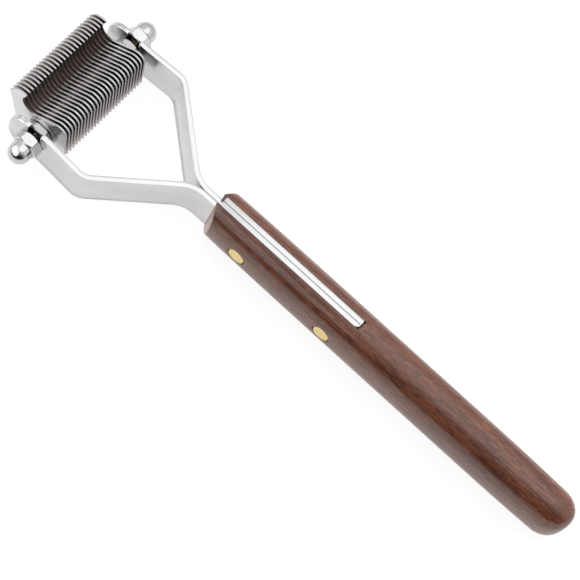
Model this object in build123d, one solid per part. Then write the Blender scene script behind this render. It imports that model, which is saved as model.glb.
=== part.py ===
from build123d import *
import os
from math import cos, exp, pi, radians, sin, tan

# Coat rake for pet grooming: a pack of hooked steel blades on a threaded rod, held in the
# slots of a two-strip steel fork that is pinned into a wooden handle.
# Millimetres. +X points from the butt of the handle to the blades, +Y to the left arm, and
# +Z up, with the tool lying on its back, the blades' hooks on top.
# The origin is under the middle of the tool, on the surface that it lies on.

# ---- driving dimensions -------------------------------------------------------------------
# Blades and spacers
BLADE_COUNT = 26
BLADE_PITCH = 1.25
BLADE_THICKNESS = 0.5
BLADE_BORE = 4.1
SPACER_DIAMETER = 7.6
SPACER_BORE = 4.3

# Rod, lock nuts, washers and cap nuts: M4 hardware
ROD_DIAMETER = 4.0
ROD_END_CHAMFER = 0.4
NUT_ACROSS_FLATS = 7.0
NUT_BORE = 4.1
CHAMFER_ANGLE = 30.0
CHAMFER_CIRCLE = 0.956
LOCK_NUT_HEIGHT = 2.2
WASHER_DIAMETER = 9.0
WASHER_BORE = 4.3
WASHER_THICKNESS = 0.8
CAP_HEX_HEIGHT = 3.2
CAP_HEIGHT = 8.0
CAP_DOME_DIAMETER = 6.4
CAP_BORE_DEPTH = 5.3
ROD_IN_CAP = 4.7

# Fork strips: heights are measured from the rod's axis
STRIP_THICKNESS = 1.6
ARM_TOP = 5.5
FORK_BOTTOM = -8.15
TANG_TOP = 8.85
ARM_NOSE_REACH = 8.0
ARM_NOSE_RADIUS = 5.0
ROD_SLOT_WIDTH = 4.3
SEAT_BACK = 5.0
SEAT_RADIUS = 20.0
SHOULDER_BACK = 17.75
SHOULDER_HALF_WIDTH = 21.25
SHOULDER_RADIUS = 6.0
CROTCH_BACK = 39.9
CROTCH_RADIUS = 9.0
TANG_END_BACK = 97.2
TANG_CORNER_RADII = {"left": 1.4, "right": 0.2}

# Handle: distances behind the rod, heights from the rod's axis
HANDLE_FRONT_BACK = 47.4
HANDLE_LENGTH = 126.0
HANDLE_WIDTH = 13.22
HANDLE_OFFSET = -0.25
FRONT_TAPER = 0.87
FRONT_TAPER_RUN = 13.0
REAR_TAPER = 0.8
REAR_TAPER_BACK = 143.0
BODY_STATIONS = (47.4, 52.0, 58.0, 66.0, 78.0, 100.0, 125.0, 143.0, 152.0, 160.0)
HANDLE_TOP = 8.95
SECTION_POWER = 2.4
SECTION_POINTS = 32
FRONT_BEVEL_ANGLE = 32.0
BUTT_LENGTH = 6.5
BUTT_INSET = 5.0
BUTT_TURNS = (0, 20, 40, 60, 78, 90)
TANG_STEP_BEHIND_FRONT = 1.1
SAW_SLOT_END_BACK = 97.6
PIN_DIAMETER = 5.0
PIN_BACKS = {"front": 60.3, "rear": 90.8}
PIN_HEIGHT = 0.6

# Blade outline about the rod's axis: (distance behind the rod, height)
NOSE_FOOT = (-9.2, -5.5)
NOSE_CORNER = (-12.95, 5.3)
HOOK_SHOULDER = (-11.6, 7.8)
HOOK_CROWN = (-9.8, 9.05)
HOOK_TIP_TOP = (-7.75, 9.3)
HOOK_TIP_UNDER = (-7.7, 8.7)
GULLET_CENTRE = (-5.15, 6.29)
GULLET_RADIUS = 3.2
EDGE_SLOPE = 34.0
GULLET_TOP_ANGLE = 155.0
BACK_TOP = (6.39, 10.2)
BACK_FOOT = (8.2, -5.0)
BACK_RADIUS = 2.5

# ---- derived places -----------------------------------------------------------------------
NOSE_REACH = -NOSE_CORNER[0]
HANDLE_END_BACK = HANDLE_FRONT_BACK + HANDLE_LENGTH
BUTT_BACK = HANDLE_END_BACK - BUTT_LENGTH
ROD_X = (HANDLE_END_BACK - NOSE_REACH) / 2
ROD_Z = -FORK_BOTTOM
PACK_HALF_WIDTH = ((BLADE_COUNT - 1) * BLADE_PITCH + BLADE_THICKNESS) / 2
NUT_SEAT = PACK_HALF_WIDTH + WASHER_THICKNESS
ARM_INNER_FACE = NUT_SEAT + LOCK_NUT_HEIGHT
ARM_OUTER_FACE = ARM_INNER_FACE + STRIP_THICKNESS
SPACER_THICKNESS = BLADE_PITCH - BLADE_THICKNESS
SECTION_HALF_HEIGHT = (HANDLE_TOP - FORK_BOTTOM) / 2
SECTION_CENTRE_Z = ROD_Z + (HANDLE_TOP + FORK_BOTTOM) / 2
# Reach of cutting shapes past what they cut
CLEAR = 1.0
REACH = 200.0


def at(back, height):
    """Point of the XZ plane from a distance behind the rod and a height over its axis."""
    return (ROD_X - back, ROD_Z + height)


def along_y(sketch, y_from, y_to):
    """Solid from a sketch of the XZ plane, between two Y positions."""
    low, high = min(y_from, y_to), max(y_from, y_to)
    return Pos(0, high, 0) * extrude(Plane.XZ * sketch, amount=high - low)


def round_bar(diameter, y_from, y_to, back=0.0, height=0.0):
    """Cylinder along Y through a point given from the rod's axis."""
    x, z = at(back, height)
    return along_y(Pos(x, z) * Circle(diameter / 2), y_from, y_to)


# ---- blades -------------------------------------------------------------------------------
def blade_outline():
    """Closed blade outline: nose, hook, gullet, sharpened edge, rounded back and foot."""
    cx, cz = GULLET_CENTRE

    def on_gullet(degrees):
        angle = radians(degrees)
        return at(cx + GULLET_RADIUS * cos(angle), cz + GULLET_RADIUS * sin(angle))

    edge_start_angle = EDGE_SLOPE - 90.0
    edge_start = on_gullet(edge_start_angle)
    gullet_top = on_gullet(GULLET_TOP_ANGLE)
    gullet_side = on_gullet((GULLET_TOP_ANGLE + edge_start_angle - 360.0) / 2 + 360.0)
    hook = ThreePointArc(at(*HOOK_SHOULDER), at(*HOOK_CROWN), at(*HOOK_TIP_TOP))
    tip = Polyline(at(*HOOK_TIP_TOP), at(*HOOK_TIP_UNDER), gullet_top)
    gullet = ThreePointArc(gullet_top, gullet_side, edge_start)
    back = FilletPolyline(edge_start, at(*BACK_TOP), at(*BACK_FOOT), radius=BACK_RADIUS)
    foot = Polyline(at(*BACK_FOOT), at(*NOSE_FOOT), at(*NOSE_CORNER), at(*HOOK_SHOULDER))
    return make_face(hook.edges() + tip.edges() + gullet.edges() + back.edges() + foot.edges())


def blade_centre_y(index):
    """Y of a blade's mid plane; index 0 is the blade nearest the left arm."""
    return ((BLADE_COUNT - 1) / 2 - index) * BLADE_PITCH


def make_blades():
    outline = blade_outline() - Pos(*at(0, 0)) * Circle(BLADE_BORE / 2)
    half = BLADE_THICKNESS / 2
    return [along_y(outline, blade_centre_y(i) - half, blade_centre_y(i) + half)
            for i in range(BLADE_COUNT)]


def make_spacers():
    """One ring in each gap between two blades, each its own solid."""
    ring = Circle(SPACER_DIAMETER / 2) - Circle(SPACER_BORE / 2)
    rings = []
    for i in range(BLADE_COUNT - 1):
        middle = (blade_centre_y(i) + blade_centre_y(i + 1)) / 2
        half = SPACER_THICKNESS / 2
        rings.append(along_y(Pos(*at(0, 0)) * ring, middle - half, middle + half))
    return Compound(children=rings)


# ---- rod and nuts -------------------------------------------------------------------------
def make_rod():
    end = ARM_OUTER_FACE + ROD_IN_CAP
    rod = round_bar(ROD_DIAMETER, -end, end)
    return chamfer(rod.faces().filter_by(Axis.Y).edges(), ROD_END_CHAMFER)


def hexagon():
    """Hexagon across flats with one flat facing up."""
    return RegularPolygon(NUT_ACROSS_FLATS / 2, 6, major_radius=False)


def flat_up_hex(side, seat, height):
    """Hexagonal prism on the rod, from its seat outwards, one flat up."""
    outline = Pos(*at(0, 0)) * hexagon()
    return along_y(outline, side * seat, side * (seat + height))


def corner_cone(side, head):
    """30 degree cone about the rod that narrows to a nut's head and takes its corners off."""
    length = 2 * NUT_ACROSS_FLATS
    head_radius = CHAMFER_CIRCLE * NUT_ACROSS_FLATS / 2
    base_radius = head_radius + length / tan(radians(CHAMFER_ANGLE))
    cone = Cone(base_radius, head_radius, length, align=(Align.CENTER, Align.CENTER, Align.MAX))
    turn = Rot(-90, 0, 0) if side > 0 else Rot(90, 0, 0)
    return Pos(ROD_X, side * head, ROD_Z) * turn * cone


def make_lock_nut(side):
    nut = flat_up_hex(side, NUT_SEAT, LOCK_NUT_HEIGHT) & corner_cone(side, ARM_INNER_FACE)
    return nut - round_bar(NUT_BORE, side * NUT_SEAT, side * ARM_INNER_FACE)


def make_washer(side):
    washer = round_bar(WASHER_DIAMETER, side * PACK_HALF_WIDTH, side * NUT_SEAT)
    return washer - round_bar(WASHER_BORE, side * PACK_HALF_WIDTH, side * NUT_SEAT)


def make_cap_nut(side):
    """Hexagon with a domed closed end, and a blind bore for the rod's end."""
    dome_radius = CAP_DOME_DIAMETER / 2
    seat = ARM_OUTER_FACE
    dome_centre = seat + CAP_HEIGHT - dome_radius
    hexagon_part = flat_up_hex(side, seat, CAP_HEX_HEIGHT) & corner_cone(side, seat + CAP_HEX_HEIGHT)
    neck = round_bar(CAP_DOME_DIAMETER, side * seat, side * dome_centre)
    dome = Pos(ROD_X, side * dome_centre, ROD_Z) * Sphere(dome_radius)
    bore = round_bar(NUT_BORE, side * seat, side * (seat + CAP_BORE_DEPTH))
    return hexagon_part + neck + dome - bore


# ---- fork ---------------------------------------------------------------------------------
def offset_corners(points, distance):
    """Corners of the same open polyline moved sideways by a distance, to its right."""
    lines = []
    for start, end in zip(points, points[1:]):
        direction = (Vector(*end) - Vector(*start)).normalized()
        side = Vector(direction.Y, -direction.X) * distance
        lines.append((Vector(*start) + side, direction))
    corners = [lines[0][0]]
    for (p, d), (q, e) in zip(lines, lines[1:]):
        cross = d.X * e.Y - d.Y * e.X
        gap = q - p
        corners.append(p + d * ((gap.X * e.Y - gap.Y * e.X) / cross))
    last = Vector(*points[-1]) - Vector(*points[-2])
    side = Vector(last.Y, -last.X).normalized() * distance
    corners.append(Vector(*points[-1]) + side)
    return [(c.X, c.Y) for c in corners]


def strip_plan():
    """Plan of the left strip, in X and Y: nose, seat, shoulder bend, crotch bend, tang."""
    outer = [
        (ROD_X + ARM_NOSE_REACH, ARM_OUTER_FACE),
        (ROD_X - SEAT_BACK, ARM_OUTER_FACE),
        (ROD_X - SHOULDER_BACK, SHOULDER_HALF_WIDTH),
        (ROD_X - CROTCH_BACK, STRIP_THICKNESS),
        (ROD_X - TANG_END_BACK, STRIP_THICKNESS),
    ]
    inner = offset_corners(outer, -STRIP_THICKNESS)
    outer_radii = [SEAT_RADIUS, SHOULDER_RADIUS, CROTCH_RADIUS]
    inner_radii = [SEAT_RADIUS + STRIP_THICKNESS, SHOULDER_RADIUS - STRIP_THICKNESS,
                   CROTCH_RADIUS + STRIP_THICKNESS]
    outer_line = FilletPolyline(*outer, radius=outer_radii)
    inner_line = FilletPolyline(*inner, radius=inner_radii)
    nose = Line(outer[0], inner[0])
    tail = Line(outer[-1], inner[-1])
    return make_face(outer_line.edges() + inner_line.edges() + nose.edges() + tail.edges())


def strip_side_view():
    """Side view of a strip: a low arm with a rounded nose, and a taller tang behind it."""
    step_back = HANDLE_FRONT_BACK + TANG_STEP_BEHIND_FRONT
    arm_corners = [at(-ARM_NOSE_REACH, FORK_BOTTOM), at(-ARM_NOSE_REACH, ARM_TOP),
                   at(step_back, ARM_TOP), at(step_back, FORK_BOTTOM)]
    arm = make_face(Polyline(*arm_corners, close=True).edges())
    nose_corners = arm.vertices().sort_by(Axis.X)[-2:]
    arm = fillet(nose_corners, ARM_NOSE_RADIUS)
    tang_corners = [at(step_back, FORK_BOTTOM), at(step_back, TANG_TOP),
                    at(TANG_END_BACK, TANG_TOP), at(TANG_END_BACK, FORK_BOTTOM)]
    tang = make_face(Polyline(*tang_corners, close=True).edges())
    slot_top = ARM_TOP + CLEAR
    slot = Pos(*at(0, 0)) * Circle(ROD_SLOT_WIDTH / 2)
    slot += Pos(*at(0, slot_top / 2)) * Rectangle(ROD_SLOT_WIDTH, slot_top)
    return arm + tang - slot


def make_strip(name, side):
    plan = extrude(strip_plan(), amount=ROD_Z + TANG_TOP + CLEAR)
    side_view = along_y(strip_side_view(), -CLEAR, SHOULDER_HALF_WIDTH + CLEAR)
    strip = plan & side_view
    tang_end_x = ROD_X - TANG_END_BACK
    corner = (strip.edges().filter_by(Axis.Z)
              .filter_by_position(Axis.X, tang_end_x - 0.01, tang_end_x + 0.01)
              .sort_by(Axis.Y)[-1])
    strip = fillet(corner, TANG_CORNER_RADII[name])
    for back in PIN_BACKS.values():
        strip -= round_bar(PIN_DIAMETER, -CLEAR, STRIP_THICKNESS + CLEAR, back, PIN_HEIGHT)
    return strip if side > 0 else mirror(strip, about=Plane.XZ)


# ---- handle -------------------------------------------------------------------------------
def half_width(back):
    """Half width of the handle: narrower at its front and towards its butt."""
    front = FRONT_TAPER * exp((HANDLE_FRONT_BACK - back) / FRONT_TAPER_RUN)
    rear = REAR_TAPER * max(0.0, (back - REAR_TAPER_BACK) / (BUTT_BACK - REAR_TAPER_BACK)) ** 2
    return (HANDLE_WIDTH - front - rear) / 2


def handle_section(back, half_width, inset=0.0):
    """Superelliptic section of the handle across X, drawn in by an inset all round."""
    points = []
    for i in range(SECTION_POINTS):
        angle = 2 * pi * i / SECTION_POINTS
        c, s = cos(angle), sin(angle)
        y = (half_width - inset) * abs(c) ** (2 / SECTION_POWER) * (1 if c > 0 else -1)
        z = (SECTION_HALF_HEIGHT - inset) * abs(s) ** (2 / SECTION_POWER) * (1 if s > 0 else -1)
        points.append((ROD_X - back, HANDLE_OFFSET + y, SECTION_CENTRE_Z + z))
    return make_face(Spline(*points, periodic=True).edges())


def handle_blank():
    """Handle with its tapers and rounded butt, before the bevels, the saw slot and the pins."""
    stations = (*BODY_STATIONS, BUTT_BACK)
    body = loft([handle_section(back, half_width(back)) for back in stations])
    butt = loft([handle_section(BUTT_BACK + BUTT_LENGTH * sin(radians(turn)), half_width(BUTT_BACK),
                                BUTT_INSET * (1 - cos(radians(turn))))
                 for turn in BUTT_TURNS])
    return body + butt


def front_bevel(side):
    """Wedge that takes the handle's front corner off, from the saw slot's edge outwards."""
    depth = REACH * tan(radians(FRONT_BEVEL_ANGLE))
    front_x = ROD_X - HANDLE_FRONT_BACK
    wedge = make_face(Polyline((front_x, side * STRIP_THICKNESS),
                               (front_x - depth, side * (STRIP_THICKNESS + REACH)),
                               (front_x + REACH, side * (STRIP_THICKNESS + REACH)),
                               (front_x + REACH, side * STRIP_THICKNESS), close=True).edges())
    return extrude(wedge, amount=REACH)


def make_handle(blank):
    slot_length = SAW_SLOT_END_BACK - HANDLE_FRONT_BACK
    slot_x = ROD_X - HANDLE_FRONT_BACK - slot_length / 2
    handle = blank - Pos(slot_x, 0, ROD_Z) * Box(slot_length, 2 * STRIP_THICKNESS, REACH)
    for side in (1, -1):
        handle -= front_bevel(side)
    for back in PIN_BACKS.values():
        handle -= round_bar(PIN_DIAMETER, -HANDLE_WIDTH, HANDLE_WIDTH, back, PIN_HEIGHT)
    return handle


def make_pin(blank, back):
    """Cross pin whose ends are dressed flush with the handle's flanks."""
    return round_bar(PIN_DIAMETER, -HANDLE_WIDTH, HANDLE_WIDTH, back, PIN_HEIGHT) & blank


# ---- the tool -----------------------------------------------------------------------------
def make_tool():
    blank = handle_blank()
    tool = {"handle": make_handle(blank)}
    for place, back in PIN_BACKS.items():
        tool[f"{place}_handle_pin"] = make_pin(blank, back)
    for name, side in (("left", 1), ("right", -1)):
        tool[f"{name}_fork_arm"] = make_strip(name, side)
        tool[f"{name}_lock_nut"] = make_lock_nut(side)
        tool[f"{name}_washer"] = make_washer(side)
        tool[f"{name}_cap_nut"] = make_cap_nut(side)
    tool["threaded_rod"] = make_rod()
    tool["blade_spacers"] = make_spacers()
    for number, blade in enumerate(make_blades(), start=1):
        tool[f"blade_{number:02d}"] = blade
    return tool


os.makedirs("parts", exist_ok=True)
for node, shape in make_tool().items():
    export_step(shape, f"parts/{node}.step")
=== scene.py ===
from math import atan2, ceil, cos, degrees, exp, pi, radians, sin, sqrt, tan

import bmesh
import bpy
from mathutils import Matrix, Vector


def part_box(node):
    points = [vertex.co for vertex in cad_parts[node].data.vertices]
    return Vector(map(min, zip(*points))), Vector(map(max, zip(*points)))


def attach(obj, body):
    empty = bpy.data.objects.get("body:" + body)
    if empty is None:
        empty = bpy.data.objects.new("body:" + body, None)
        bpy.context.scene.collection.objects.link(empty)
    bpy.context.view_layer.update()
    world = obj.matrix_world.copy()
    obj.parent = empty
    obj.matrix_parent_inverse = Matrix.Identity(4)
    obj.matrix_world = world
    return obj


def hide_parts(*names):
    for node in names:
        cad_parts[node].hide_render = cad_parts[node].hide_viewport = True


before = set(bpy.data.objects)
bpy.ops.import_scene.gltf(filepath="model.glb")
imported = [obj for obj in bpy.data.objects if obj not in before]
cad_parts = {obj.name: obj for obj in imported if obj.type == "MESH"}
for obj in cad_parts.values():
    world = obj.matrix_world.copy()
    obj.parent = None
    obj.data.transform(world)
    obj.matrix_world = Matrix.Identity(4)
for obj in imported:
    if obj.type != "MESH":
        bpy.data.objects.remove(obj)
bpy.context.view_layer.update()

# Shapes are worked out in millimetres and scaled to metres when an object is made.
# +X points from the butt to the blades, +Y to the left arm, +Z up.
MM = 0.001

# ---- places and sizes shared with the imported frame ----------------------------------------
rod_low, rod_high = (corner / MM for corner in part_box("threaded_rod"))
ROD_X = (rod_low.x + rod_high.x) / 2
ROD_Z = (rod_low.z + rod_high.z) / 2
ROD_END = rod_high.y

BLADE_COUNT = 26
BLADE_PITCH = 1.25
BLADE_THICKNESS = 0.5
BLADE_BORE = 4.1
SPACER_DIAMETER = 7.6
SPACER_BORE = 4.3
ROD_DIAMETER = 4.0
THREAD_PITCH = 0.7
THREAD_DEPTH = 0.38
NUT_ACROSS_FLATS = 7.0
NUT_BORE = 4.1
NUT_CORNER_RADIUS = 0.3
LOCK_NUT_HEIGHT = 2.2
WASHER_DIAMETER = 9.0
WASHER_BORE = 4.3
WASHER_THICKNESS = 0.8
CAP_HEX_HEIGHT = 3.2
CAP_HEIGHT = 8.0
CAP_DOME_DIAMETER = 6.4
CAP_BORE_DEPTH = 5.3

STRIP_THICKNESS = 1.6
STRIP_EDGE_RADIUS = 0.18
ARM_TOP = 5.5
FORK_BOTTOM = -8.15
TANG_TOP = 8.85
ARM_NOSE_REACH = 8.0
ARM_NOSE_RADIUS = 5.0
ROD_SLOT_WIDTH = 4.3
SEAT_BACK = 5.0
SEAT_RADIUS = 20.0
SHOULDER_BACK = 17.75
SHOULDER_HALF_WIDTH = 21.25
SHOULDER_RADIUS = 6.0
CROTCH_BACK = 39.9
CROTCH_RADIUS = 9.0
TANG_END_BACK = 97.2
TANG_CORNER_RADII = {"left": 1.4, "right": 0.2}
DEGREES_PER_BEND_STEP = 4
DEGREES_PER_CORNER_STEP = 9

HANDLE_FRONT_BACK = 47.4
HANDLE_LENGTH = 126.0
HANDLE_WIDTH = 13.22
HANDLE_OFFSET = -0.25
FRONT_TAPER = 0.87
FRONT_TAPER_RUN = 13.0
REAR_TAPER = 0.8
REAR_TAPER_BACK = 143.0
HANDLE_TOP = 8.95
SECTION_POWER = 2.4
FRONT_BEVEL_ANGLE = 32.0
BUTT_LENGTH = 6.5
BUTT_INSET = 5.0
TANG_STEP_BEHIND_FRONT = 1.1
SAW_SLOT_END_BACK = 97.3
SAW_RUN_OUT_BACK = 98.4
SAW_RUN_OUT_DEPTH = 1.5
PIN_DIAMETER = 5.0
PIN_BACKS = {"front": 60.3, "rear": 90.8}
PIN_HEIGHT = 0.6
PIN_TEAR_OUT = 0.32

# Where painted shade lies on the handle and on the tang: distances behind the rod, and heights above the
# handle's middle
WOOD_SHADE_BACKS = (94.0, 74.0)
WOOD_SHADE_HEIGHTS = (5.5, 7.0)
TANG_SHADE_LENGTH = 16.0

# Cutters for the handle: how far they reach past the wood, and their height in the frame
CUTTER_CLEARANCE = 5.0
CUTTER_REACH = 20.0
CUTTER_LOW, CUTTER_HIGH = -5.0, 25.0

# Blade outline about the rod's axis: (distance behind the rod, height)
NOSE_FOOT = (-9.2, -5.5)
NOSE_CORNER = (-12.95, 5.3)
HOOK_SHOULDER = (-11.6, 7.8)
HOOK_CROWN = (-9.8, 9.05)
HOOK_TIP_TOP = (-7.75, 9.3)
HOOK_TIP_UNDER = (-7.7, 8.7)
GULLET_CENTRE = (-5.15, 6.29)
GULLET_RADIUS = 3.2
GULLET_TOP_ANGLE = 155.0
EDGE_SLOPE = 34.0
BACK_TOP = (6.39, 10.2)
BACK_FOOT = (8.2, -5.0)
BACK_RADIUS = 2.5

PACK_HALF_WIDTH = ((BLADE_COUNT - 1) * BLADE_PITCH + BLADE_THICKNESS) / 2
NUT_SEAT = PACK_HALF_WIDTH + WASHER_THICKNESS
ARM_INNER_FACE = NUT_SEAT + LOCK_NUT_HEIGHT
ARM_OUTER_FACE = ARM_INNER_FACE + STRIP_THICKNESS
SPACER_THICKNESS = BLADE_PITCH - BLADE_THICKNESS
SECTION_HALF_HEIGHT = (HANDLE_TOP - FORK_BOTTOM) / 2
SECTION_CENTRE_Z = ROD_Z + (HANDLE_TOP + FORK_BOTTOM) / 2


# ---- materials ----------------------------------------------------------------------------
def connect(tree, value, socket):
    """Links a node's output to a socket, or sets a plain value on the socket."""
    if isinstance(value, bpy.types.NodeSocket):
        tree.links.new(value, socket)
    else:
        socket.default_value = value


def math_node(tree, operation, *values):
    """Output of a math node whose inputs are plain values or other nodes' outputs."""
    node = tree.nodes.new("ShaderNodeMath")
    node.operation = operation
    for value, socket in zip(values, node.inputs):
        connect(tree, value, socket)
    return node.outputs[0]


def split_vector(tree, vector):
    """The three outputs of a vector's parts along X, Y and Z."""
    node = tree.nodes.new("ShaderNodeSeparateXYZ")
    tree.links.new(vector, node.inputs[0])
    return list(node.outputs)


class Nodes:
    """A material's node tree with short calls for the nodes that the finishes share."""

    def __init__(self, name, **values):
        self.material = bpy.data.materials.new(name)
        self.material.use_nodes = True
        self.tree = self.material.node_tree
        self.shader = self.tree.nodes["Principled BSDF"]
        for socket, value in values.items():
            self.shader.inputs[socket.replace("_", " ")].default_value = value
        coordinates = self.tree.nodes.new("ShaderNodeTexCoord")
        self.place = coordinates.outputs["Object"]
        self.normal = coordinates.outputs["Normal"]

    def stretched(self, x, y, z, turn=(0, 0, 0)):
        """Object coordinates in cycles per millimetre along each axis."""
        node = self.tree.nodes.new("ShaderNodeMapping")
        node.inputs["Scale"].default_value = (x / MM, y / MM, z / MM)
        node.inputs["Rotation"].default_value = [radians(a) for a in turn]
        self.tree.links.new(self.place, node.inputs["Vector"])
        return node.outputs["Vector"]

    def noise(self, place, detail, roughness=0.5, distortion=0.0):
        """Noise that lies about 0.5 and mostly between 0.3 and 0.7."""
        node = self.tree.nodes.new("ShaderNodeTexNoise")
        node.inputs["Scale"].default_value = 1.0
        node.inputs["Detail"].default_value = detail
        node.inputs["Roughness"].default_value = roughness
        node.inputs["Distortion"].default_value = distortion
        self.tree.links.new(place, node.inputs["Vector"])
        return node.outputs["Fac"]

    def clouds(self, cycles, detail=3.0):
        """Soft patches alike in every direction, in cycles per millimetre."""
        return self.noise(self.stretched(cycles, cycles, cycles), detail)

    def math(self, operation, *values):
        return math_node(self.tree, operation, *values)

    def product(self, first, *others):
        """Product of two or more values."""
        for other in others:
            first = self.math("MULTIPLY", first, other)
        return first

    def spread(self, value, low, high, to_low=0.0, to_high=1.0):
        """Value from low..high mapped to another range and clamped there."""
        node = self.tree.nodes.new("ShaderNodeMapRange")
        for socket, number in zip(list(node.inputs)[1:5], (low, high, to_low, to_high)):
            socket.default_value = number
        self.tree.links.new(value, node.inputs[0])
        return node.outputs[0]

    def varied(self, noise, to_low=0.0, to_high=1.0):
        """The range in which a noise mostly lies, mapped to another range."""
        return self.spread(noise, 0.3, 0.7, to_low, to_high)

    def axes(self):
        """Object coordinates in millimetres."""
        return split_vector(self.tree, self.stretched(1, 1, 1))

    def facing(self):
        """The object's own normal, along X, Y and Z."""
        return split_vector(self.tree, self.normal)

    def reach(self, line_x, line_z):
        """Distance in millimetres from a line that runs along Y."""
        x, _, z = self.axes()
        dx, dz = self.math("SUBTRACT", x, line_x), self.math("SUBTRACT", z, line_z)
        return self.math("SQRT", self.math("ADD", self.product(dx, dx), self.product(dz, dz)))

    def mix(self, share, first, second):
        """Colour on the way from the first to the second, as far as the share says."""
        node = self.tree.nodes.new("ShaderNodeMix")
        node.data_type = "RGBA"
        connect(self.tree, share, node.inputs["Factor"])
        colours = [s for s in node.inputs if s.type == "RGBA"]
        for value, socket in zip((first, second), colours):
            colour = value if isinstance(value, bpy.types.NodeSocket) else (*value, 1.0)
            connect(self.tree, colour, socket)
        return [s for s in node.outputs if s.type == "RGBA"][0]

    def bump(self, height, distance, strength):
        """Bump whose height of 1 stands for a distance in millimetres."""
        node = self.tree.nodes.new("ShaderNodeBump")
        node.inputs["Strength"].default_value = strength
        node.inputs["Distance"].default_value = distance * MM
        self.tree.links.new(height, node.inputs["Height"])
        self.tree.links.new(node.outputs["Normal"], self.shader.inputs["Normal"])

    def set(self, socket, value):
        connect(self.tree, value, self.shader.inputs[socket])


def walnut():
    """Dark varnished walnut, its grain along X, with painted shade beside the tang's front."""
    n = Nodes("walnut", Coat_Weight=0.47, Coat_Roughness=0.11, Coat_IOR=1.8,
              Specular_IOR_Level=0.3)
    x, y, z = n.axes()
    dark_grain, pale_grain = (0.090, 0.022, 0.010), (0.42, 0.150, 0.072)

    # year rings, warped, under streaks and blotches that run along the grain
    broad = n.noise(n.stretched(0.018, 0.10, 0.16), 3.0)
    warp = n.noise(n.stretched(0.014, 0.11, 0.11, (0, 0, 2)), 3.0)
    across = n.math("ADD", n.product(y, 0.30), n.product(z, 0.16))
    rings = n.math("SINE", n.product(n.math("ADD", across, n.product(warp, 8.5)), 3.4))
    streaks = n.noise(n.stretched(0.05, 1.1, 1.3, (0, 0, 1.5)), 5.0, 0.62)
    figure = n.noise(n.stretched(0.16, 0.55, 0.7, (0, 0, -3)), 5.0, 0.65, 0.6)
    wood = n.mix(n.spread(broad, 0.32, 0.68), (0.188, 0.053, 0.021), (0.275, 0.088, 0.041))
    wood = n.mix(n.spread(rings, 0.2, 1.0, 0.0, 0.6), wood, (0.100, 0.024, 0.010))
    wood = n.mix(n.spread(figure, 0.42, 0.66, 0.0, 0.35), wood, dark_grain)
    wood = n.mix(n.spread(streaks, 0.50, 0.70, 0.0, 0.6), wood, dark_grain)
    wood = n.mix(n.spread(streaks, 0.46, 0.28, 0.0, 0.4), wood, pale_grain)

    # painted shade on the upper left flank beside the tang, fading out towards the rear
    above = [SECTION_CENTRE_Z + height for height in WOOD_SHADE_HEIGHTS]
    along = [ROD_X - back for back in WOOD_SHADE_BACKS]
    beside_tang = n.product(n.spread(z, *above), n.spread(y, 0.0, 1.0))
    painted_wood_shade = n.product(beside_tang, n.spread(x, *along, 0.0, 0.8))
    wood = n.mix(painted_wood_shade, wood, (0.105, 0.020, 0.003))

    fibres = n.noise(n.stretched(0.34, 2.5, 2.5, (0, 0, -2)), 2.0, 0.6)
    pores = n.noise(n.stretched(0.30, 2.6, 2.6, (0, 0, 1.0)), 2.0, 0.5)
    wood = n.mix(n.spread(fibres, 0.50, 0.64, 0.0, 0.55), wood, (0.050, 0.012, 0.007))
    wood = n.mix(n.spread(fibres, 0.48, 0.34, 0.0, 0.3), wood, pale_grain)
    wood = n.mix(n.spread(pores, 0.56, 0.68, 0.0, 0.7), wood, (0.030, 0.009, 0.007))

    # painted shade inside the saw slot and on its run-out
    slot_width = n.spread(n.math("ABSOLUTE", y), STRIP_THICKNESS - 0.05, STRIP_THICKNESS, 1.0, 0.0)
    slot_end = ROD_X - SAW_RUN_OUT_BACK
    painted_slot_shade = n.product(slot_width, n.spread(x, slot_end, slot_end + 0.1))
    wood = n.mix(painted_slot_shade, wood, (0.045, 0.020, 0.020))

    forward, _, _ = n.facing()
    flecks = n.noise(n.stretched(1.6, 2.4, 2.4), 4.0, 0.6)
    end_grain = n.mix(n.spread(flecks, 0.35, 0.65), (0.30, 0.15, 0.105), (0.46, 0.26, 0.19))
    n.set("Base Color", n.mix(n.spread(forward, 0.5, 0.7), wood, end_grain))
    n.set("Roughness", n.varied(streaks, 0.34, 0.46))
    n.bump(n.spread(pores, 0.56, 0.70, 1.0, 0.0), 0.03, 0.5)
    return n.material


def satin_steel():
    """Stainless strip: satin along its length, crossed grinding strokes, painted shade on the tang's top
    near the handle's front.
    """
    n = Nodes("satin_steel", Metallic=1.0)
    x, _, z = n.axes()
    lengthwise = n.noise(n.stretched(0.12, 0.12, 7.0), 3.0, 0.6)
    strokes = n.noise(n.stretched(3.2, 0.5, 0.5, (0, 0, 38)), 3.0, 0.6)
    tone = n.mix(n.varied(n.clouds(0.10)), (0.585, 0.585, 0.59), (0.66, 0.66, 0.665))
    tone = n.mix(n.varied(lengthwise, 0.0, 0.35), tone, (0.56, 0.56, 0.565))
    # painted shade on the tang's top, strongest at the handle's front and fading out towards the rear
    handle_front = ROD_X - HANDLE_FRONT_BACK
    on_tang = n.spread(z, ROD_Z + ARM_TOP + 0.2, ROD_Z + TANG_TOP - 0.2)
    painted_tang_shade = n.product(on_tang, n.spread(x, handle_front - TANG_SHADE_LENGTH, handle_front, 0.0, 0.8))
    n.set("Base Color", n.mix(painted_tang_shade, tone, (0.40, 0.40, 0.40)))
    n.set("Roughness", n.varied(strokes, 0.15, 0.25))
    n.bump(n.math("ADD", lengthwise, strokes), 0.003, 0.5)
    return n.material


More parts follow.
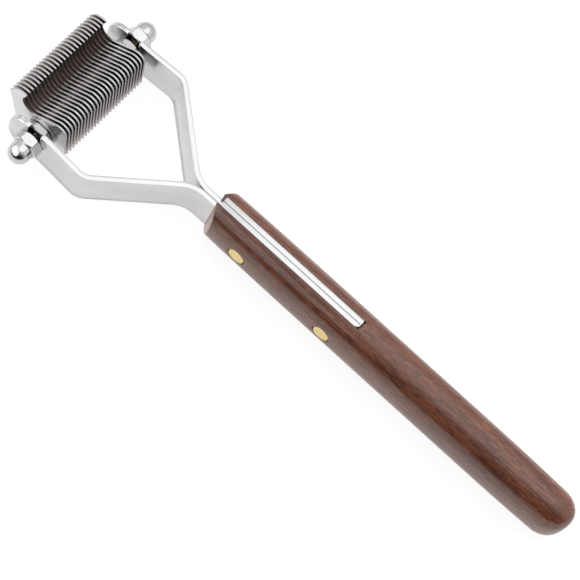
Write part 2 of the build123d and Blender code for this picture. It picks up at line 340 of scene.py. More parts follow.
def blade_steel():
    """Blade steel: bright outer faces; painted light and shade on the edges; painted shade, tinted brown,
    on the faces between blades and round the gullet.
    """
    n = Nodes("blade_steel", Metallic=1.0)
    x, y, _ = n.axes()
    _, sideways, upward = n.facing()
    back = n.math("SUBTRACT", ROD_X, x)
    flank = n.spread(n.math("ABSOLUTE", sideways), 0.75, 0.9)
    outermost = PACK_HALF_WIDTH - BLADE_THICKNESS / 2
    between = n.spread(n.math("ABSOLUTE", y), outermost, outermost + 0.05, 1.0, 0.0)
    grind = n.noise(n.stretched(5.0, 5.0, 0.4, (0, 35, 0)), 3.0, 0.6)
    patches = n.varied(n.clouds(0.2))

    bright = n.mix(patches, (0.64, 0.635, 0.635), (0.71, 0.705, 0.705))
    # faces between blades: painted shade of the narrow gaps, tinted brown
    painted_gap_shade = n.mix(patches, (0.43, 0.385, 0.382), (0.53, 0.475, 0.47))
    faces = n.mix(between, bright, painted_gap_shade)

    # painted highlights on the edges just behind the gullet and at the back, and painted shade on edges
    # that don't face up
    painted_edge_light = n.product(n.spread(back, -1.0, 3.0, 1.0, 0.1), n.spread(back, -4.5, -3.9))
    painted_edge_light = n.math("MAXIMUM", painted_edge_light, n.spread(back, 4.2, 5.6, 0.0, 0.75))
    edges = n.mix(painted_edge_light, (0.51, 0.505, 0.505), (0.79, 0.785, 0.78))
    edges = n.mix(n.spread(upward, 0.1, 0.6), (0.40, 0.395, 0.395), edges)

    # painted shade on the faces round the gullet, near black at its hook side and browner towards the
    # back, and a painted dark reflection, tinted brown, on the gullet's rim
    from_centre = n.reach(ROD_X - GULLET_CENTRE[0], ROD_Z + GULLET_CENTRE[1])
    near_gullet = n.spread(from_centre, GULLET_RADIUS + 0.2, GULLET_RADIUS + 1.6, 1.0, 0.0)
    shaded = n.product(near_gullet, between, flank)
    painted_gullet_shade = n.mix(n.spread(back, -6.6, -4.2), (0.020, 0.012, 0.011), (0.12, 0.083, 0.075))
    rim = n.spread(from_centre, GULLET_RADIUS + 0.06, GULLET_RADIUS + 0.22, 1.0, 0.0)
    rim = n.product(rim, n.spread(back, -5.1, -4.1, 1.0, 0.2))
    painted_rim_shade = n.mix(n.varied(grind), (0.09, 0.060, 0.054), (0.18, 0.127, 0.115))

    n.set("Base Color", n.mix(rim, n.mix(shaded, n.mix(flank, edges, faces), painted_gullet_shade), painted_rim_shade))
    n.set("Roughness", n.math("ADD", n.varied(grind, -0.05, 0.05), n.spread(flank, 0.0, 1.0, 0.50, 0.20)))
    n.bump(grind, 0.003, 0.5)
    return n.material


def dark_steel():
    """Oiled dark steel of the spacer rings."""
    n = Nodes("dark_steel", Metallic=1.0)
    patches = n.clouds(0.9, 4.0)
    n.set("Base Color", n.mix(n.varied(patches), (0.13, 0.135, 0.13), (0.26, 0.27, 0.255)))
    n.set("Roughness", n.varied(patches, 0.32, 0.5))
    n.bump(patches, 0.006, 0.5)
    return n.material


def rod_steel():
    """Rolled thread, with painted shade in its roots, and lightly yellow from oil on its crests."""
    n = Nodes("rod_steel", Metallic=1.0)
    crest = n.spread(n.reach(ROD_X, ROD_Z), ROD_DIAMETER / 2 - THREAD_DEPTH, ROD_DIAMETER / 2)
    patches = n.clouds(0.8)
    # painted shade: near black in the thread's roots, lighter towards its crests
    n.set("Base Color", n.mix(crest, (0.05, 0.04, 0.03), (0.34, 0.28, 0.20)))
    n.set("Roughness", n.varied(patches, 0.22, 0.38))
    n.bump(patches, 0.006, 0.4)
    return n.material


def bright_steel():
    """Machined steel of the lock nuts and washers, with fine turning marks."""
    n = Nodes("bright_steel", Metallic=1.0)
    turned_marks = n.noise(n.stretched(1.2, 9.0, 1.2), 3.0, 0.6)
    n.set("Base Color", n.mix(n.varied(n.clouds(0.35)), (0.38, 0.38, 0.38), (0.45, 0.447, 0.445)))
    n.set("Roughness", n.varied(turned_marks, 0.18, 0.30))
    n.bump(turned_marks, 0.004, 0.5)
    return n.material


def chrome():
    """Bright nickel-chrome plating with a faint orange-peel and haze."""
    n = Nodes("chrome", Metallic=1.0)
    haze = n.clouds(0.25, 4.0)
    n.set("Base Color", n.mix(n.varied(haze), (0.55, 0.55, 0.555), (0.61, 0.61, 0.615)))
    n.set("Roughness", n.varied(haze, 0.05, 0.10))
    n.bump(n.clouds(0.7, 2.0), 0.006, 0.4)
    return n.material


def brass():
    """Pale brass pin, its ends sanded flush along the handle."""
    n = Nodes("brass", Metallic=1.0)
    sanded = n.noise(n.stretched(0.5, 6.0, 6.0), 3.0, 0.6)
    n.set("Base Color", n.mix(n.varied(n.clouds(0.5)), (0.74, 0.57, 0.24), (0.84, 0.69, 0.34)))
    n.set("Roughness", n.varied(sanded, 0.30, 0.42))
    n.bump(sanded, 0.005, 0.5)
    return n.material


FINISHES = {
    "handle_wood": walnut(), "fork_steel": satin_steel(), "blade_steel": blade_steel(),
    "spacer_steel": dark_steel(), "rod_steel": rod_steel(), "nut_steel": bright_steel(),
    "cap_chrome": chrome(), "pin_brass": brass(),
}


# ---- making objects -----------------------------------------------------------------------
def smooth_by_angle(mesh, angle):
    """Smooth shading, but for the edges where faces meet at more than an angle in degrees."""
    mesh.polygons.foreach_set("use_smooth", [True] * len(mesh.polygons))
    mesh.set_sharp_from_angle(angle=radians(angle))


def to_object(name, bm):
    """Links a mesh given in millimetres as an object in metres."""
    bmesh.ops.recalc_face_normals(bm, faces=bm.faces)
    mesh = bpy.data.meshes.new(name)
    bm.to_mesh(mesh)
    bm.free()
    mesh.transform(Matrix.Scale(MM, 4))
    obj = bpy.data.objects.new(name, mesh)
    bpy.context.scene.collection.objects.link(obj)
    return obj


def piece(obj, body, slot, *nodes, angle=32):
    """Finishes an object as a piece of the tool that stands for CAD nodes."""
    smooth_by_angle(obj.data, angle)
    obj.data.materials.clear()
    obj.data.materials.append(FINISHES[slot])
    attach(obj, body)
    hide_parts(*nodes)


def apply_modifiers(obj):
    """Replaces an object's mesh by what its modifiers make of it."""
    graph = bpy.context.evaluated_depsgraph_get()
    mesh = bpy.data.meshes.new_from_object(obj.evaluated_get(graph))
    obj.modifiers.clear()
    obj.data = mesh


def skin(bm, low, high):
    """Quads between two rings of as many vertices."""
    for i in range(len(low)):
        j = (i + 1) % len(low)
        bm.faces.new((low[i], low[j], high[j], high[i]))


def stack(bm, rings, ends):
    """Skin of quads through rings of equal length, its ends capped or joined to each other."""
    verts = [[bm.verts.new(p) for p in ring] for ring in rings]
    pairs = list(zip(verts, verts[1:]))
    if ends == "joined":
        pairs.append((verts[-1], verts[0]))
    for low, high in pairs:
        skin(bm, low, high)
    if ends == "capped":
        bm.faces.new(verts[0])
        bm.faces.new(verts[-1])


# ---- round and hexagonal parts on the rod -------------------------------------------------
def hexagon_angles(across_flats, corner_radius):
    """Angles and radii of a hexagon with slightly rounded corners, one flat up."""
    inner = across_flats / 2
    flat_end = degrees(atan2((inner - corner_radius) * tan(pi / 6), inner))
    to_corner = (inner - corner_radius) / cos(pi / 6)
    result = []
    corner_steps, flat_steps = 3, 6
    for side in range(6):
        for k in range(flat_steps):
            turn = -flat_end + 2 * flat_end * k / flat_steps
            result.append((side * 60 + turn, inner / cos(radians(turn))))
        for k in range(2 * corner_steps):
            turn = flat_end + (60 - 2 * flat_end) * k / (2 * corner_steps)
            off = radians(turn - 30)
            radius = to_corner * cos(off) + sqrt(corner_radius ** 2 - (to_corner * sin(off)) ** 2)
            result.append((side * 60 + turn, radius))
    return result


HEXAGON = hexagon_angles(NUT_ACROSS_FLATS, NUT_CORNER_RADIUS)


def rod_ring(y, radius, angles):
    """Points about the rod at angles in degrees, from the top towards the front."""
    return [(ROD_X + radius * sin(radians(a)), y, ROD_Z + radius * cos(radians(a))) for a in angles]


def turned(bm, profile, side):
    """Turned ring about the rod from its closed profile of (distance out along Y, radius)."""
    segments = 64
    angles = [360 * i / segments for i in range(segments)]
    stack(bm, [rod_ring(side * y, r, angles) for y, r in profile], ends="joined")


def hex_band(side, foot, head):
    """Rings of a hexagon's flats between two 30 degree chamfers, from foot to head along Y."""
    chamfer_start, drop = 0.478 * NUT_ACROSS_FLATS, tan(radians(30))
    ease = 0.05
    angles = [a for a, r in HEXAGON]

    def ring(level, inset, sink):
        return [(ROD_X + (r - inset) * sin(radians(a)),
                 side * (level + sink * ((r - chamfer_start) * drop)),
                 ROD_Z + (r - inset) * cos(radians(a))) for a, r in HEXAGON]

    return [
        rod_ring(side * foot, chamfer_start, angles),
        ring(foot, ease, 1), ring(foot + ease, 0, 1),
        ring(head - ease, 0, -1), ring(head, ease, -1),
        rod_ring(side * head, chamfer_start, angles),
    ]


def make_lock_nut(name, side):
    """Thin hexagon nut, chamfered on both faces, with a countersunk bore."""
    bm = bmesh.new()
    angles = [a for a, r in HEXAGON]
    bore, sink = NUT_BORE / 2, 0.3
    rings = hex_band(side, NUT_SEAT, ARM_INNER_FACE)
    rings += [rod_ring(side * y, r, angles) for y, r in (
        (ARM_INNER_FACE, bore + sink), (ARM_INNER_FACE - sink, bore),
        (NUT_SEAT + sink, bore), (NUT_SEAT, bore + sink))]
    stack(bm, rings, ends="joined")
    piece(to_object(f"{name}_lock_nut_mesh", bm), "rod", "nut_steel", f"{name}_lock_nut")


def make_cap_nut(name, side):
    """Hexagon nut with a blind bore, and a dome above a narrow groove."""
    bm = bmesh.new()
    angles = [a for a, r in HEXAGON]
    seat, radius = ARM_OUTER_FACE, CAP_DOME_DIAMETER / 2
    centre = seat + CAP_HEIGHT - radius
    bore, sink, groove = NUT_BORE / 2, 0.3, 0.12
    drill_tip, drill_point = 0.25, 0.6
    neck, bottom = seat + CAP_HEX_HEIGHT, seat + CAP_BORE_DEPTH
    rings = [rod_ring(side * y, r, angles) for y, r in (
        (bottom, drill_tip), (bottom - drill_point, bore), (seat + sink, bore), (seat, bore + sink))]
    rings += hex_band(side, seat, neck)
    rings += [rod_ring(side * y, r, angles) for y, r in (
        (neck, radius - groove), (neck + groove, radius - groove), (neck + 2.4 * groove, radius))]
    steps = 18
    for k in range(steps):
        turn = radians(90 * k / steps)
        rings.append(rod_ring(side * (centre + radius * sin(turn)), radius * cos(turn), angles))
    stack(bm, rings, ends="capped")
    obj = to_object(f"{name}_cap_nut_mesh", bm)
    piece(obj, f"{name}_cap_nut", "cap_chrome", f"{name}_cap_nut")


def make_washer(name, side):
    """Stamped washer with rounded rims and an eased bore."""
    bm = bmesh.new()
    r, b, e = WASHER_DIAMETER / 2, WASHER_BORE / 2, 0.14
    halfway = 0.3 * e
    inner, outer = PACK_HALF_WIDTH, NUT_SEAT
    profile = [(inner, b + e), (inner, r - e), (inner + halfway, r - halfway), (inner + e, r),
               (outer - e, r), (outer - halfway, r - halfway), (outer, r - e), (outer, b + e),
               (outer - e, b), (inner + e, b)]
    turned(bm, profile, side)
    piece(to_object(f"{name}_washer_mesh", bm), "rod", "nut_steel", f"{name}_washer")


def blade_centre_y(index):
    """Middle of a blade across the tool, counted from 0 at the left end."""
    return ((BLADE_COUNT - 1) / 2 - index) * BLADE_PITCH


def make_spacers():
    """One piece of all the spacer rings, one in each gap between two blades."""
    bm = bmesh.new()
    r, b, e = SPACER_DIAMETER / 2, SPACER_BORE / 2, 0.08
    half = SPACER_THICKNESS / 2
    for i in range(BLADE_COUNT - 1):
        middle = (blade_centre_y(i) + blade_centre_y(i + 1)) / 2
        low, high = middle - half, middle + half
        turned(bm, [(low, b), (low, r - e), (low + e, r), (high - e, r), (high, r - e), (high, b)], 1)
    piece(to_object("spacer_rings", bm), "blade_pack", "spacer_steel", "blade_spacers")


def make_rod():
    """Rod with a right-hand helical thread that runs out at its chamfered ends."""
    bm = bmesh.new()
    around, rings_per_pitch = 36, 6
    radius, core = ROD_DIAMETER / 2, ROD_DIAMETER / 2 - THREAD_DEPTH
    count = ceil(2 * ROD_END / THREAD_PITCH * rings_per_pitch)
    rings = []
    for i in range(count + 1):
        y = -ROD_END + 2 * ROD_END * i / count
        to_end = ROD_END - abs(y)
        limit = min(radius, core + to_end)
        ring = []
        for k in range(around):
            angle = 2 * pi * k / around
            phase = (y / THREAD_PITCH - angle / (2 * pi)) % 1.0
            # from 0 on the crest to 1 on the root, which is flat over a fifth of the pitch
            flank = min(abs(phase - 0.5) * 2 * 1.25, 1.0)
            r = min(limit, radius - THREAD_DEPTH * flank)
            ring.append((ROD_X + r * sin(angle), y, ROD_Z + r * cos(angle)))
        rings.append(ring)
    stack(bm, rings, ends="capped")
    piece(to_object("rod_thread", bm), "rod", "rod_steel", "threaded_rod", angle=50)


# ---- plates -------------------------------------------------------------------------------
def arc(centre, start, end, steps):
    """Points on a circle about its centre, the short way between two of its radii."""
    turn = start.angle_signed(end)
    points = []
    for k in range(steps + 1):
        arm = start.copy()
        arm.rotate(Matrix.Rotation(-turn * k / steps, 2))
        points.append(tuple(centre + arm))
    return points


def rounded(corners):
    """Closed outline from corners (u, v, radius), each rounded by an arc."""
    points = []
    count = len(corners)
    for i, (u, v, radius) in enumerate(corners):
        here = Vector((u, v))
        if not radius:
            points.append((u, v))
            continue
        before = (Vector(corners[i - 1][:2]) - here).normalized()
        after = (Vector(corners[(i + 1) % count][:2]) - here).normalized()
        half = before.angle(after) / 2
        centre = here + (before + after).normalized() * (radius / sin(half))
        start = here + before * (radius / tan(half)) - centre
        end = here + after * (radius / tan(half)) - centre
        steps = ceil(abs(degrees(start.angle_signed(end))) / DEGREES_PER_CORNER_STEP)
        points += arc(centre, start, end, max(2, steps))
    return points


def inward_normals(points):
    """Mitred inward direction at each point of a closed outline, whichever way it runs."""
    count = len(points)
    area = sum(points[i - 1][0] * points[i][1] - points[i][0] * points[i - 1][1] for i in range(count))
    way = 1 if area > 0 else -1
    sharpest_mitre = 0.35
    result = []
    for i in range(count):
        here = Vector(points[i])
        a = (here - Vector(points[i - 1])).normalized()
        b = (Vector(points[(i + 1) % count]) - here).normalized()
        na, nb = Vector((-a.y, a.x)) * way, Vector((-b.y, b.x)) * way
        both = na + nb
        result.append(both / max(sharpest_mitre, both.dot(na)))
    return result


def plate(bm, points, half, rims, holes):
    """Plate from a closed outline. rims(i) gives rings at point i as (inset, share of half)."""
    inward = inward_normals(points)
    profile = [rims(i) for i in range(len(points))]
    count = len(profile[0])
    rings = []
    for k, side in [(k, -1) for k in reversed(range(count))] + [(k, 1) for k in range(count)]:
        ring = []
        for i, (u, v) in enumerate(points):
            inset, share = profile[i][k]
            ring.append((u + inward[i].x * inset, side * share * half, v + inward[i].y * inset))
        rings.append([bm.verts.new(p) for p in ring])
    for low, high in zip(rings, rings[1:]):
        skin(bm, low, high)
    hole_rings = []
    for ring, side in ((rings[0], -1), (rings[-1], 1)):
        edges = [bm.edges.get((ring[i - 1], ring[i])) for i in range(len(ring))]
        for hole in holes:
            verts = [bm.verts.new((u, side * half, v)) for u, v in hole]
            edges += [bm.edges.new((verts[i - 1], verts[i])) for i in range(len(verts))]
            hole_rings.append(verts)
        bmesh.ops.triangle_fill(bm, use_beauty=True, use_dissolve=False, edges=edges)
    for low, high in zip(hole_rings[:len(holes)], hole_rings[len(holes):]):
        skin(bm, low, high)


def merge_flat_faces(bm):
    """Merges the fill's triangles, which lie in one plane."""
    bmesh.ops.dissolve_limit(bm, angle_limit=radians(0.5), verts=bm.verts, edges=bm.edges)


def circle(u, v, radius):
    """Closed outline of a round hole."""
    segments = 40
    return [(u + radius * cos(2 * pi * k / segments), v + radius * sin(2 * pi * k / segments))
            for k in range(segments)]


# ---- blades -------------------------------------------------------------------------------
def arc_through(a, b, c, steps):
    """Points from a through b to c on one circle."""
    (ax, ay), (bx, by), (cx, cy) = a, b, c
    d = 2 * (ax * (by - cy) + bx * (cy - ay) + cx * (ay - by))
    sa, sb, sc = ax * ax + ay * ay, bx * bx + by * by, cx * cx + cy * cy
    centre = Vector(((sa * (by - cy) + sb * (cy - ay) + sc * (ay - by)) / d,
                     (sa * (cx - bx) + sb * (ax - cx) + sc * (bx - ax)) / d))
    return arc(centre, Vector(a) - centre, Vector(c) - centre, steps)


def blade_outline():
    """Blade outline as (distance behind the rod, height), and which points are sharpened."""
    cx, cz = GULLET_CENTRE
    gullet, steps = [], 24
    last_angle = 270.0 + EDGE_SLOPE
    for k in range(steps + 1):
        angle = radians(GULLET_TOP_ANGLE + (last_angle - GULLET_TOP_ANGLE) * k / steps)
        gullet.append((cx + GULLET_RADIUS * cos(angle), cz + GULLET_RADIUS * sin(angle)))
    hook = arc_through(HOOK_SHOULDER, HOOK_CROWN, HOOK_TIP_TOP, 10)
    back = rounded([(*gullet[-1], 0), (*BACK_TOP, BACK_RADIUS), (*BACK_FOOT, 0)])
    outline = hook + [HOOK_TIP_UNDER] + gullet + back[1:] + [NOSE_FOOT, NOSE_CORNER]
    first = len(hook) + 1
    return outline, range(first, first + len(gullet))


def make_blades():
    """Row of equal blades across the rod, each one bored and sharpened along its gullet."""
    outline, sharpened = blade_outline()
    eased_inset, eased_share = 0.05, 0.8
    sharp_inset, sharp_share = 0.18, 0.45
    points_to_sharp = 5

    def rims(i):
        """Rings of the edge: a small easing, or the long bevel of the sharpened gullet."""
        from_end = min(i - sharpened.start, sharpened.stop - 1 - i) if i in sharpened else -1
        k = max(0.0, min(1.0, (from_end + 1) / points_to_sharp))
        return [(0.0, eased_share + (sharp_share - eased_share) * k),
                (eased_inset + (sharp_inset - eased_inset) * k, 1.0)]

    for number in range(1, BLADE_COUNT + 1):
        bm = bmesh.new()
        plate(bm, outline, BLADE_THICKNESS / 2, rims, [circle(0, 0, BLADE_BORE / 2)])
        centre = blade_centre_y(number - 1)
        for vert in bm.verts:
            a, y, b = vert.co
            vert.co = (ROD_X - a, centre + y, ROD_Z + b)
        merge_flat_faces(bm)
        name = f"blade_{number:02d}"
        piece(to_object(f"{name}_mesh", bm), "blade_pack", "blade_steel", name, angle=28)


# ---- fork strips --------------------------------------------------------------------------
def strip_path():
    """Start of the left strip's centre line in plan, and pieces (direction, turn radius, length).

    The corners and radii are those of the strip's outer face, which lies to the right of the path
    from the nose to the tang, and so on the outside of a turn to the left. Such a turn's radius is
    positive.
    """
    half = STRIP_THICKNESS / 2
    outer = [Vector(p) for p in (
        (ROD_X + ARM_NOSE_REACH, ARM_OUTER_FACE), (ROD_X - SEAT_BACK, ARM_OUTER_FACE),
        (ROD_X - SHOULDER_BACK, SHOULDER_HALF_WIDTH), (ROD_X - CROTCH_BACK, STRIP_THICKNESS),
        (ROD_X - TANG_END_BACK, STRIP_THICKNESS))]
    radii = [SEAT_RADIUS, SHOULDER_RADIUS, CROTCH_RADIUS]
    directions = [(b - a).normalized() for a, b in zip(outer, outer[1:])]
    turns = [a.angle_signed(b) for a, b in zip(directions, directions[1:])]
    pieces = []
    position = outer[0] + Vector((-directions[0].y, directions[0].x)) * half
    trims = [0.0] + [abs(tan(t / 2)) * r for t, r in zip(turns, radii)] + [0.0]
    for i, direction in enumerate(directions):
        straight = (outer[i + 1] - outer[i]).length - trims[i] - trims[i + 1]
        pieces.append((direction, 0.0, straight))
        if i < len(turns):
            way = 1 if -turns[i] > 0 else -1
            centre_radius = radii[i] - way * half
            pieces.append((direction, way * centre_radius, abs(turns[i]) * centre_radius))
    return position, pieces


def walk(start, pieces, distance):
    """Place and direction on the centre line at a distance from its start."""
    position = start.copy()
    for direction, radius, length in pieces:
        here = min(distance, length)
        side = Vector((-direction.y, direction.x))
        if radius:
            turn = here / abs(radius)
            way = 1 if radius > 0 else -1
            position = position + direction * abs(radius) * sin(turn) \
                + side * way * abs(radius) * (1 - cos(turn))
            direction = direction * cos(turn) + side * way * sin(turn)
        else:
            position = position + direction * here
        distance -= here
        if distance <= 1e-9:
            return position, direction
    return position + direction * distance, direction


def make_strip(name, side):
    """One of the fork's two strips, cut flat and then bent along its path."""
    corner_radius = TANG_CORNER_RADII[name]
    start, pieces = strip_path()
    lengths = [length for direction, radius, length in pieces]
    total = sum(lengths)
    arm_top, tang_top, floor = ROD_Z + ARM_TOP, ROD_Z + TANG_TOP, ROD_Z + FORK_BOTTOM
    # the slot's floor is a hair short of a half circle, so that its two corners stay apart
    half_slot, hair = ROD_SLOT_WIDTH / 2, 0.001
    slot_floor, slot_radius = ROD_Z - half_slot, half_slot - hair

    def behind(back):
        """Distance along the strip of a place on its straight tang."""
        return total - (TANG_END_BACK - back)

    step = behind(HANDLE_FRONT_BACK + TANG_STEP_BEHIND_FRONT)
    outline = rounded([
        (0, floor, ARM_NOSE_RADIUS), (0, arm_top, ARM_NOSE_RADIUS),
        (ARM_NOSE_REACH - half_slot, arm_top, 0),
        (ARM_NOSE_REACH - half_slot, slot_floor, slot_radius),
        (ARM_NOSE_REACH + half_slot, slot_floor, slot_radius),
        (ARM_NOSE_REACH + half_slot, arm_top, 0),
        (step, arm_top, 0), (step, tang_top, 0), (total, tang_top, 0), (total, floor, 0)])
    half, r = STRIP_THICKNESS / 2, STRIP_EDGE_RADIUS
    midway = r * (1 - cos(radians(45)))
    eased = [(0.0, 1 - r / half), (midway, 1 - midway / half), (r, 1.0)]
    holes = [circle(behind(back), ROD_Z + PIN_HEIGHT, PIN_DIAMETER / 2) for back in PIN_BACKS.values()]
    bm = bmesh.new()
    plate(bm, outline, half, lambda i: eased, holes)
    merge_flat_faces(bm)

    cuts, along = [], 0.0
    for direction, radius, length in pieces:
        if radius:
            steps = max(3, ceil(degrees(length / abs(radius)) / DEGREES_PER_BEND_STEP))
            cuts += [along + length * k / steps for k in range(steps + 1)]
        along += length
    cuts += [total - corner_radius * (1 - sin(radians(a))) for a in (0, 15, 30, 45, 60, 75)]
    for cut in cuts:
        bmesh.ops.bisect_plane(bm, geom=bm.verts[:] + bm.edges[:] + bm.faces[:], dist=1e-5,
                               plane_co=(cut, 0, 0), plane_no=(1, 0, 0))
    # lay the flat plate along the centre line, with the tang's outer rear corner rounded off
    for vert in bm.verts:
        s, w, z = vert.co
        into = s - (total - corner_radius)
        if into > 0:
            gone = corner_radius - sqrt(max(0.0, corner_radius ** 2 - into ** 2))
            w = -half + (w + half) * (STRIP_THICKNESS - gone) / STRIP_THICKNESS
        position, direction = walk(start, pieces, s)
        vert.co = (position.x + direction.y * w, side * (position.y - direction.x * w), z)
    obj = to_object(f"{name}_fork_strip", bm)
    piece(obj, "fork_and_handle", "fork_steel", f"{name}_fork_arm", angle=28)


# ---- handle and pins ----------------------------------------------------------------------
BUTT_BACK = HANDLE_FRONT_BACK + HANDLE_LENGTH - BUTT_LENGTH


def half_width(back):
    """Half width of the handle: narrower at its front and towards its butt."""
    front = FRONT_TAPER * exp((HANDLE_FRONT_BACK - back) / FRONT_TAPER_RUN)
    into_taper = (min(back, BUTT_BACK) - REAR_TAPER_BACK) / (BUTT_BACK - REAR_TAPER_BACK)
    return (HANDLE_WIDTH - front - REAR_TAPER * max(0.0, into_taper) ** 2) / 2


def handle_ring(back, inset=0.0):
    """Superellipse section of the handle at a distance behind the rod."""
    ring, count = [], 112
    for i in range(count):
        angle = 2 * pi * (i + 0.5) / count
        c, s = cos(angle), sin(angle)
        y = (half_width(back) - inset) * abs(c) ** (2 / SECTION_POWER) * (1 if c > 0 else -1)
        z = (SECTION_HALF_HEIGHT - inset) * abs(s) ** (2 / SECTION_POWER) * (1 if s > 0 else -1)
        ring.append((ROD_X - back, HANDLE_OFFSET + y, SECTION_CENTRE_Z + z))
    return ring


def cutter(name, rings):
    """Closed solid through the rings, to be taken away from the handle."""
    bm = bmesh.new()
    stack(bm, rings, ends="capped")
    return to_object(name, bm)


def upright(corners):
    """Rings of an upright prism over plan corners, through the whole height of the handle."""
    return [[(x, y, z) for x, y in corners] for z in (CUTTER_LOW, CUTTER_HIGH)]


def handle_cutters():
    """The saw slot and its run-out, the two front bevels and the two pin holes."""
    front, t = ROD_X - HANDLE_FRONT_BACK, STRIP_THICKNESS
    before, slot_end = front + CUTTER_CLEARANCE, ROD_X - SAW_SLOT_END_BACK
    slot = [(before, -t), (before, t), (slot_end, t), (slot_end, -t)]
    cutters = [cutter("saw_slot_cutter", upright(slot))]

    top, end, overlap, above = ROD_Z + HANDLE_TOP, ROD_X - SAW_RUN_OUT_BACK, 0.1, 1
    run_out = [(slot_end + overlap, top - SAW_RUN_OUT_DEPTH), (slot_end + overlap, top + above),
               (end, top + above), (end, top)]
    cutters.append(cutter("saw_run_out_cutter", [[(x, y, z) for x, z in run_out] for y in (-t, t)]))

    fall = CUTTER_REACH * tan(radians(FRONT_BEVEL_ANGLE))
    for side in (1, -1):
        inner, outer = side * t, side * (t + CUTTER_REACH)
        cutters.append(cutter("front_bevel_cutter", upright(
            [(front, inner), (front - fall, outer), (before, outer), (before, inner)])))

    r, count = PIN_DIAMETER / 2, 64
    hole = [((r + PIN_TEAR_OUT) * cos(2 * pi * k / count), r * sin(2 * pi * k / count))
            for k in range(count)]
    for back in PIN_BACKS.values():
        cutters.append(cutter("pin_hole_cutter", [
            [(ROD_X - back + u, y, ROD_Z + PIN_HEIGHT + v) for u, v in hole]
            for y in (-HANDLE_WIDTH, HANDLE_WIDTH)]))
    return cutters


def make_handle():
    """Tapered handle with a rounded butt, cut by its cutters and eased along its edges."""
    bm = bmesh.new()
    steps = 46
    run = BUTT_BACK - HANDLE_FRONT_BACK
    rings = [handle_ring(HANDLE_FRONT_BACK + run * k / steps) for k in range(steps + 1)]
    for angle in range(10, 91, 10):
        a = radians(angle)
        rings.append(handle_ring(BUTT_BACK + BUTT_LENGTH * sin(a), BUTT_INSET * (1 - cos(a))))
    stack(bm, rings, ends="capped")
    handle = to_object("walnut_handle", bm)

    cutters = handle_cutters()
    for tool in cutters:
        cut = handle.modifiers.new(tool.name, "BOOLEAN")
        cut.operation = "DIFFERENCE"
        cut.solver = "EXACT"
        cut.object = tool
    ease = handle.modifiers.new("eased_edges", "BEVEL")
    ease.width = 0.15 * MM
    ease.segments = 2
    ease.limit_method = "ANGLE"
    ease.angle_limit = radians(30)
    ease.use_clamp_overlap = True
    apply_modifiers(handle)
    for tool in cutters:
        bpy.data.objects.remove(tool)
    piece(handle, "fork_and_handle", "handle_wood", "handle", angle=30)


def make_pin(name, back):
    """Pin whose ends follow the handle's flanks, a hair under the wood."""
    bm = bmesh.new()
    r, under, ease, count = PIN_DIAMETER / 2, 0.02, 0.08, 64

    def end_ring(side, radius, sink):
        ring = []
        for k in range(count):
            angle = 2 * pi * k / count
            u, v = radius * cos(angle), PIN_HEIGHT + radius * sin(angle)
            share = abs(ROD_Z + v - SECTION_CENTRE_Z) / SECTION_HALF_HEIGHT
            y = half_width(back - u) * (1 - share ** SECTION_POWER) ** (1 / SECTION_POWER)
            ring.append((ROD_X - back + u, HANDLE_OFFSET + side * (y - under - sink), ROD_Z + v))
        return ring

    face = [(0.3 * r, 0.0), (0.6 * r, 0.0), (0.85 * r, 0.0), (r - ease, 0.0), (r, ease)]
    rings = [end_ring(1, radius, sink) for radius, sink in face]
    rings += [end_ring(-1, radius, sink) for radius, sink in reversed(face)]
    stack(bm, rings, ends="capped")
    obj = to_object(f"{name}_brass_pin", bm)
    piece(obj, "fork_and_handle", "pin_brass", f"{name}_handle_pin")


# ---- the tool -----------------------------------------------------------------------------
make_handle()
for place, back in PIN_BACKS.items():
    make_pin(place, back)
for name, side in (("left", 1), ("right", -1)):
    make_strip(name, side)
    make_lock_nut(name, side)
    make_washer(name, side)
    make_cap_nut(name, side)
make_rod()
make_spacers()
make_blades()


# ---- floor, light and camera --------------------------------------------------------------
def make_floor():
    """White floor, nearly shadowless to the camera, that the metal mirrors with its shadows.

    What it mirrors darkens towards the studio's dark side.
    """
    bm = bmesh.new()
    half = 3000.0
    bmesh.ops.create_grid(bm, x_segments=8, y_segments=8, size=half)
    floor = to_object("floor", bm)
    floor.location.z = -0.2 * MM
    n = Nodes("white_floor", Roughness=0.9, Specular_IOR_Level=0.0)
    n.shader.inputs["Emission Color"].default_value = (1, 1, 1, 1)
    camera_sees = n.tree.nodes.new("ShaderNodeLightPath").outputs["Is Camera Ray"]
    _, y, _ = n.axes()
    lit_until, dark_from = 40.0, 130.0
    lit = n.spread(y, lit_until, dark_from, 1.0, 0.15)
    n.set("Emission Strength", n.math("MAXIMUM", n.product(lit, 0.72), n.product(camera_sees, 0.90)))
    mirrored = n.mix(lit, (0.0, 0.0, 0.0), (0.42, 0.42, 0.42))
    n.set("Base Color", n.mix(camera_sees, mirrored, (0.2, 0.2, 0.2)))
    floor.data.materials.append(n.material)


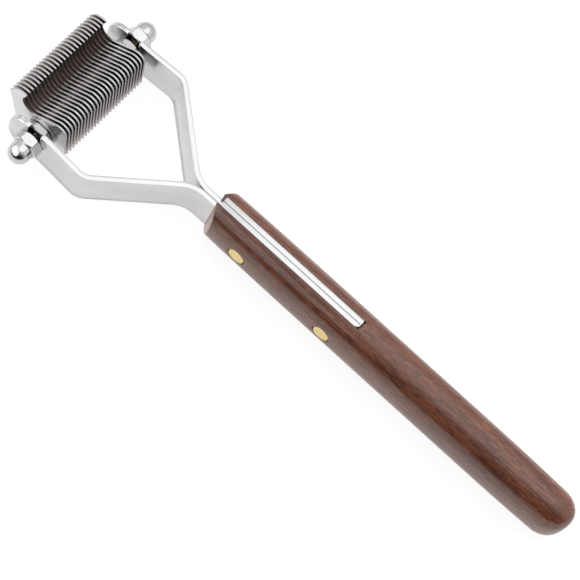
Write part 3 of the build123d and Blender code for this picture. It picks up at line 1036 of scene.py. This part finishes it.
def make_world():
    """White studio with one dark side, low behind the tool's left, and a greyer horizon.

    The camera itself sees plain white.
    """
    dark_side = (-0.42, 0.90, 0.09)
    # cosine of the angle from the dark side, and the grey there
    stops = [(-1.0, 0.90), (0.0, 1.0), (0.3, 0.85), (0.6, 0.35), (0.82, 0.03), (1.0, 0.03)]
    at_horizon, full_height = 0.7, 0.5
    world = bpy.data.worlds.new("studio")
    bpy.context.scene.world = world
    world.use_nodes = True
    tree = world.node_tree
    background = tree.nodes["Background"]

    def math(operation, *values):
        return math_node(tree, operation, *values)

    direction = tree.nodes.new("ShaderNodeTexCoord")
    facing = tree.nodes.new("ShaderNodeVectorMath")
    facing.operation = "DOT_PRODUCT"
    facing.inputs[1].default_value = dark_side
    tree.links.new(direction.outputs["Generated"], facing.inputs[0])
    _, _, upward = split_vector(tree, direction.outputs["Generated"])
    ramp = tree.nodes.new("ShaderNodeValToRGB")
    tree.links.new(math("MULTIPLY_ADD", facing.outputs["Value"], 0.5, 0.5), ramp.inputs["Fac"])
    while len(ramp.color_ramp.elements) < len(stops):
        ramp.color_ramp.elements.new(0.5)
    for element, (cosine, grey) in zip(ramp.color_ramp.elements, stops):
        element.position = (cosine + 1) / 2
        element.color = (grey, grey, grey, 1)
    height = math("MINIMUM", math("MAXIMUM", upward, 0.0), full_height)
    rise = (1 - at_horizon) / full_height
    studio = math("MULTIPLY", ramp.outputs["Color"], math("MULTIPLY_ADD", height, rise, at_horizon))
    seen = tree.nodes.new("ShaderNodeLightPath")
    tree.links.new(math("MAXIMUM", studio, seen.outputs["Is Camera Ray"]), background.inputs["Color"])
    background.inputs["Strength"].default_value = 1.0


def soft_light(name, place, target, diameter, radiance, lights_surfaces=True):
    """Disc of even radiance. One that doesn't light surfaces shows only in their gloss."""
    data = bpy.data.lights.new(name, "AREA")
    data.shape = "DISK"
    data.size = diameter
    data.energy = radiance * pi * pi * diameter ** 2 / 4
    light = bpy.data.objects.new(name, data)
    bpy.context.scene.collection.objects.link(light)
    light.location = place
    light.rotation_euler = (Vector(target) - Vector(place)).to_track_quat("-Z", "Y").to_euler()
    light.visible_camera = False
    light.visible_diffuse = lights_surfaces


def make_camera():
    """Camera over the left side of the tool, rolled so that the handle runs down to the right."""
    place = (-0.011348, 0.202870, 0.477055)
    right = Vector((-0.74087, -0.62538, 0.24418))
    up = Vector((0.67075, -0.67399, 0.30895))
    back = right.cross(up)
    data = bpy.data.cameras.new("camera")
    data.sensor_width = 36.0
    data.lens = 118.53
    camera = bpy.data.objects.new("camera", data)
    turn = Matrix((right, up, back)).transposed().to_4x4()
    camera.matrix_world = Matrix.Translation(place) @ turn
    bpy.context.scene.collection.objects.link(camera)
    bpy.context.scene.camera = camera


make_floor()
make_world()
soft_light("top_softbox", (0.0, -0.25, 0.9), (0.0, 0.0, 0.0), 0.9, 0.62)
soft_light("side_softbox", (0.17, 0.28, 0.235), (0.08, 0.02, 0.01), 0.40, 1.4, lights_surfaces=False)
soft_light("front_softbox", (0.42, 0.17, 0.25), (0.08, 0.02, 0.01), 0.50, 1.4, lights_surfaces=False)
make_camera()
bpy.context.scene.view_settings.view_transform = "Standard"
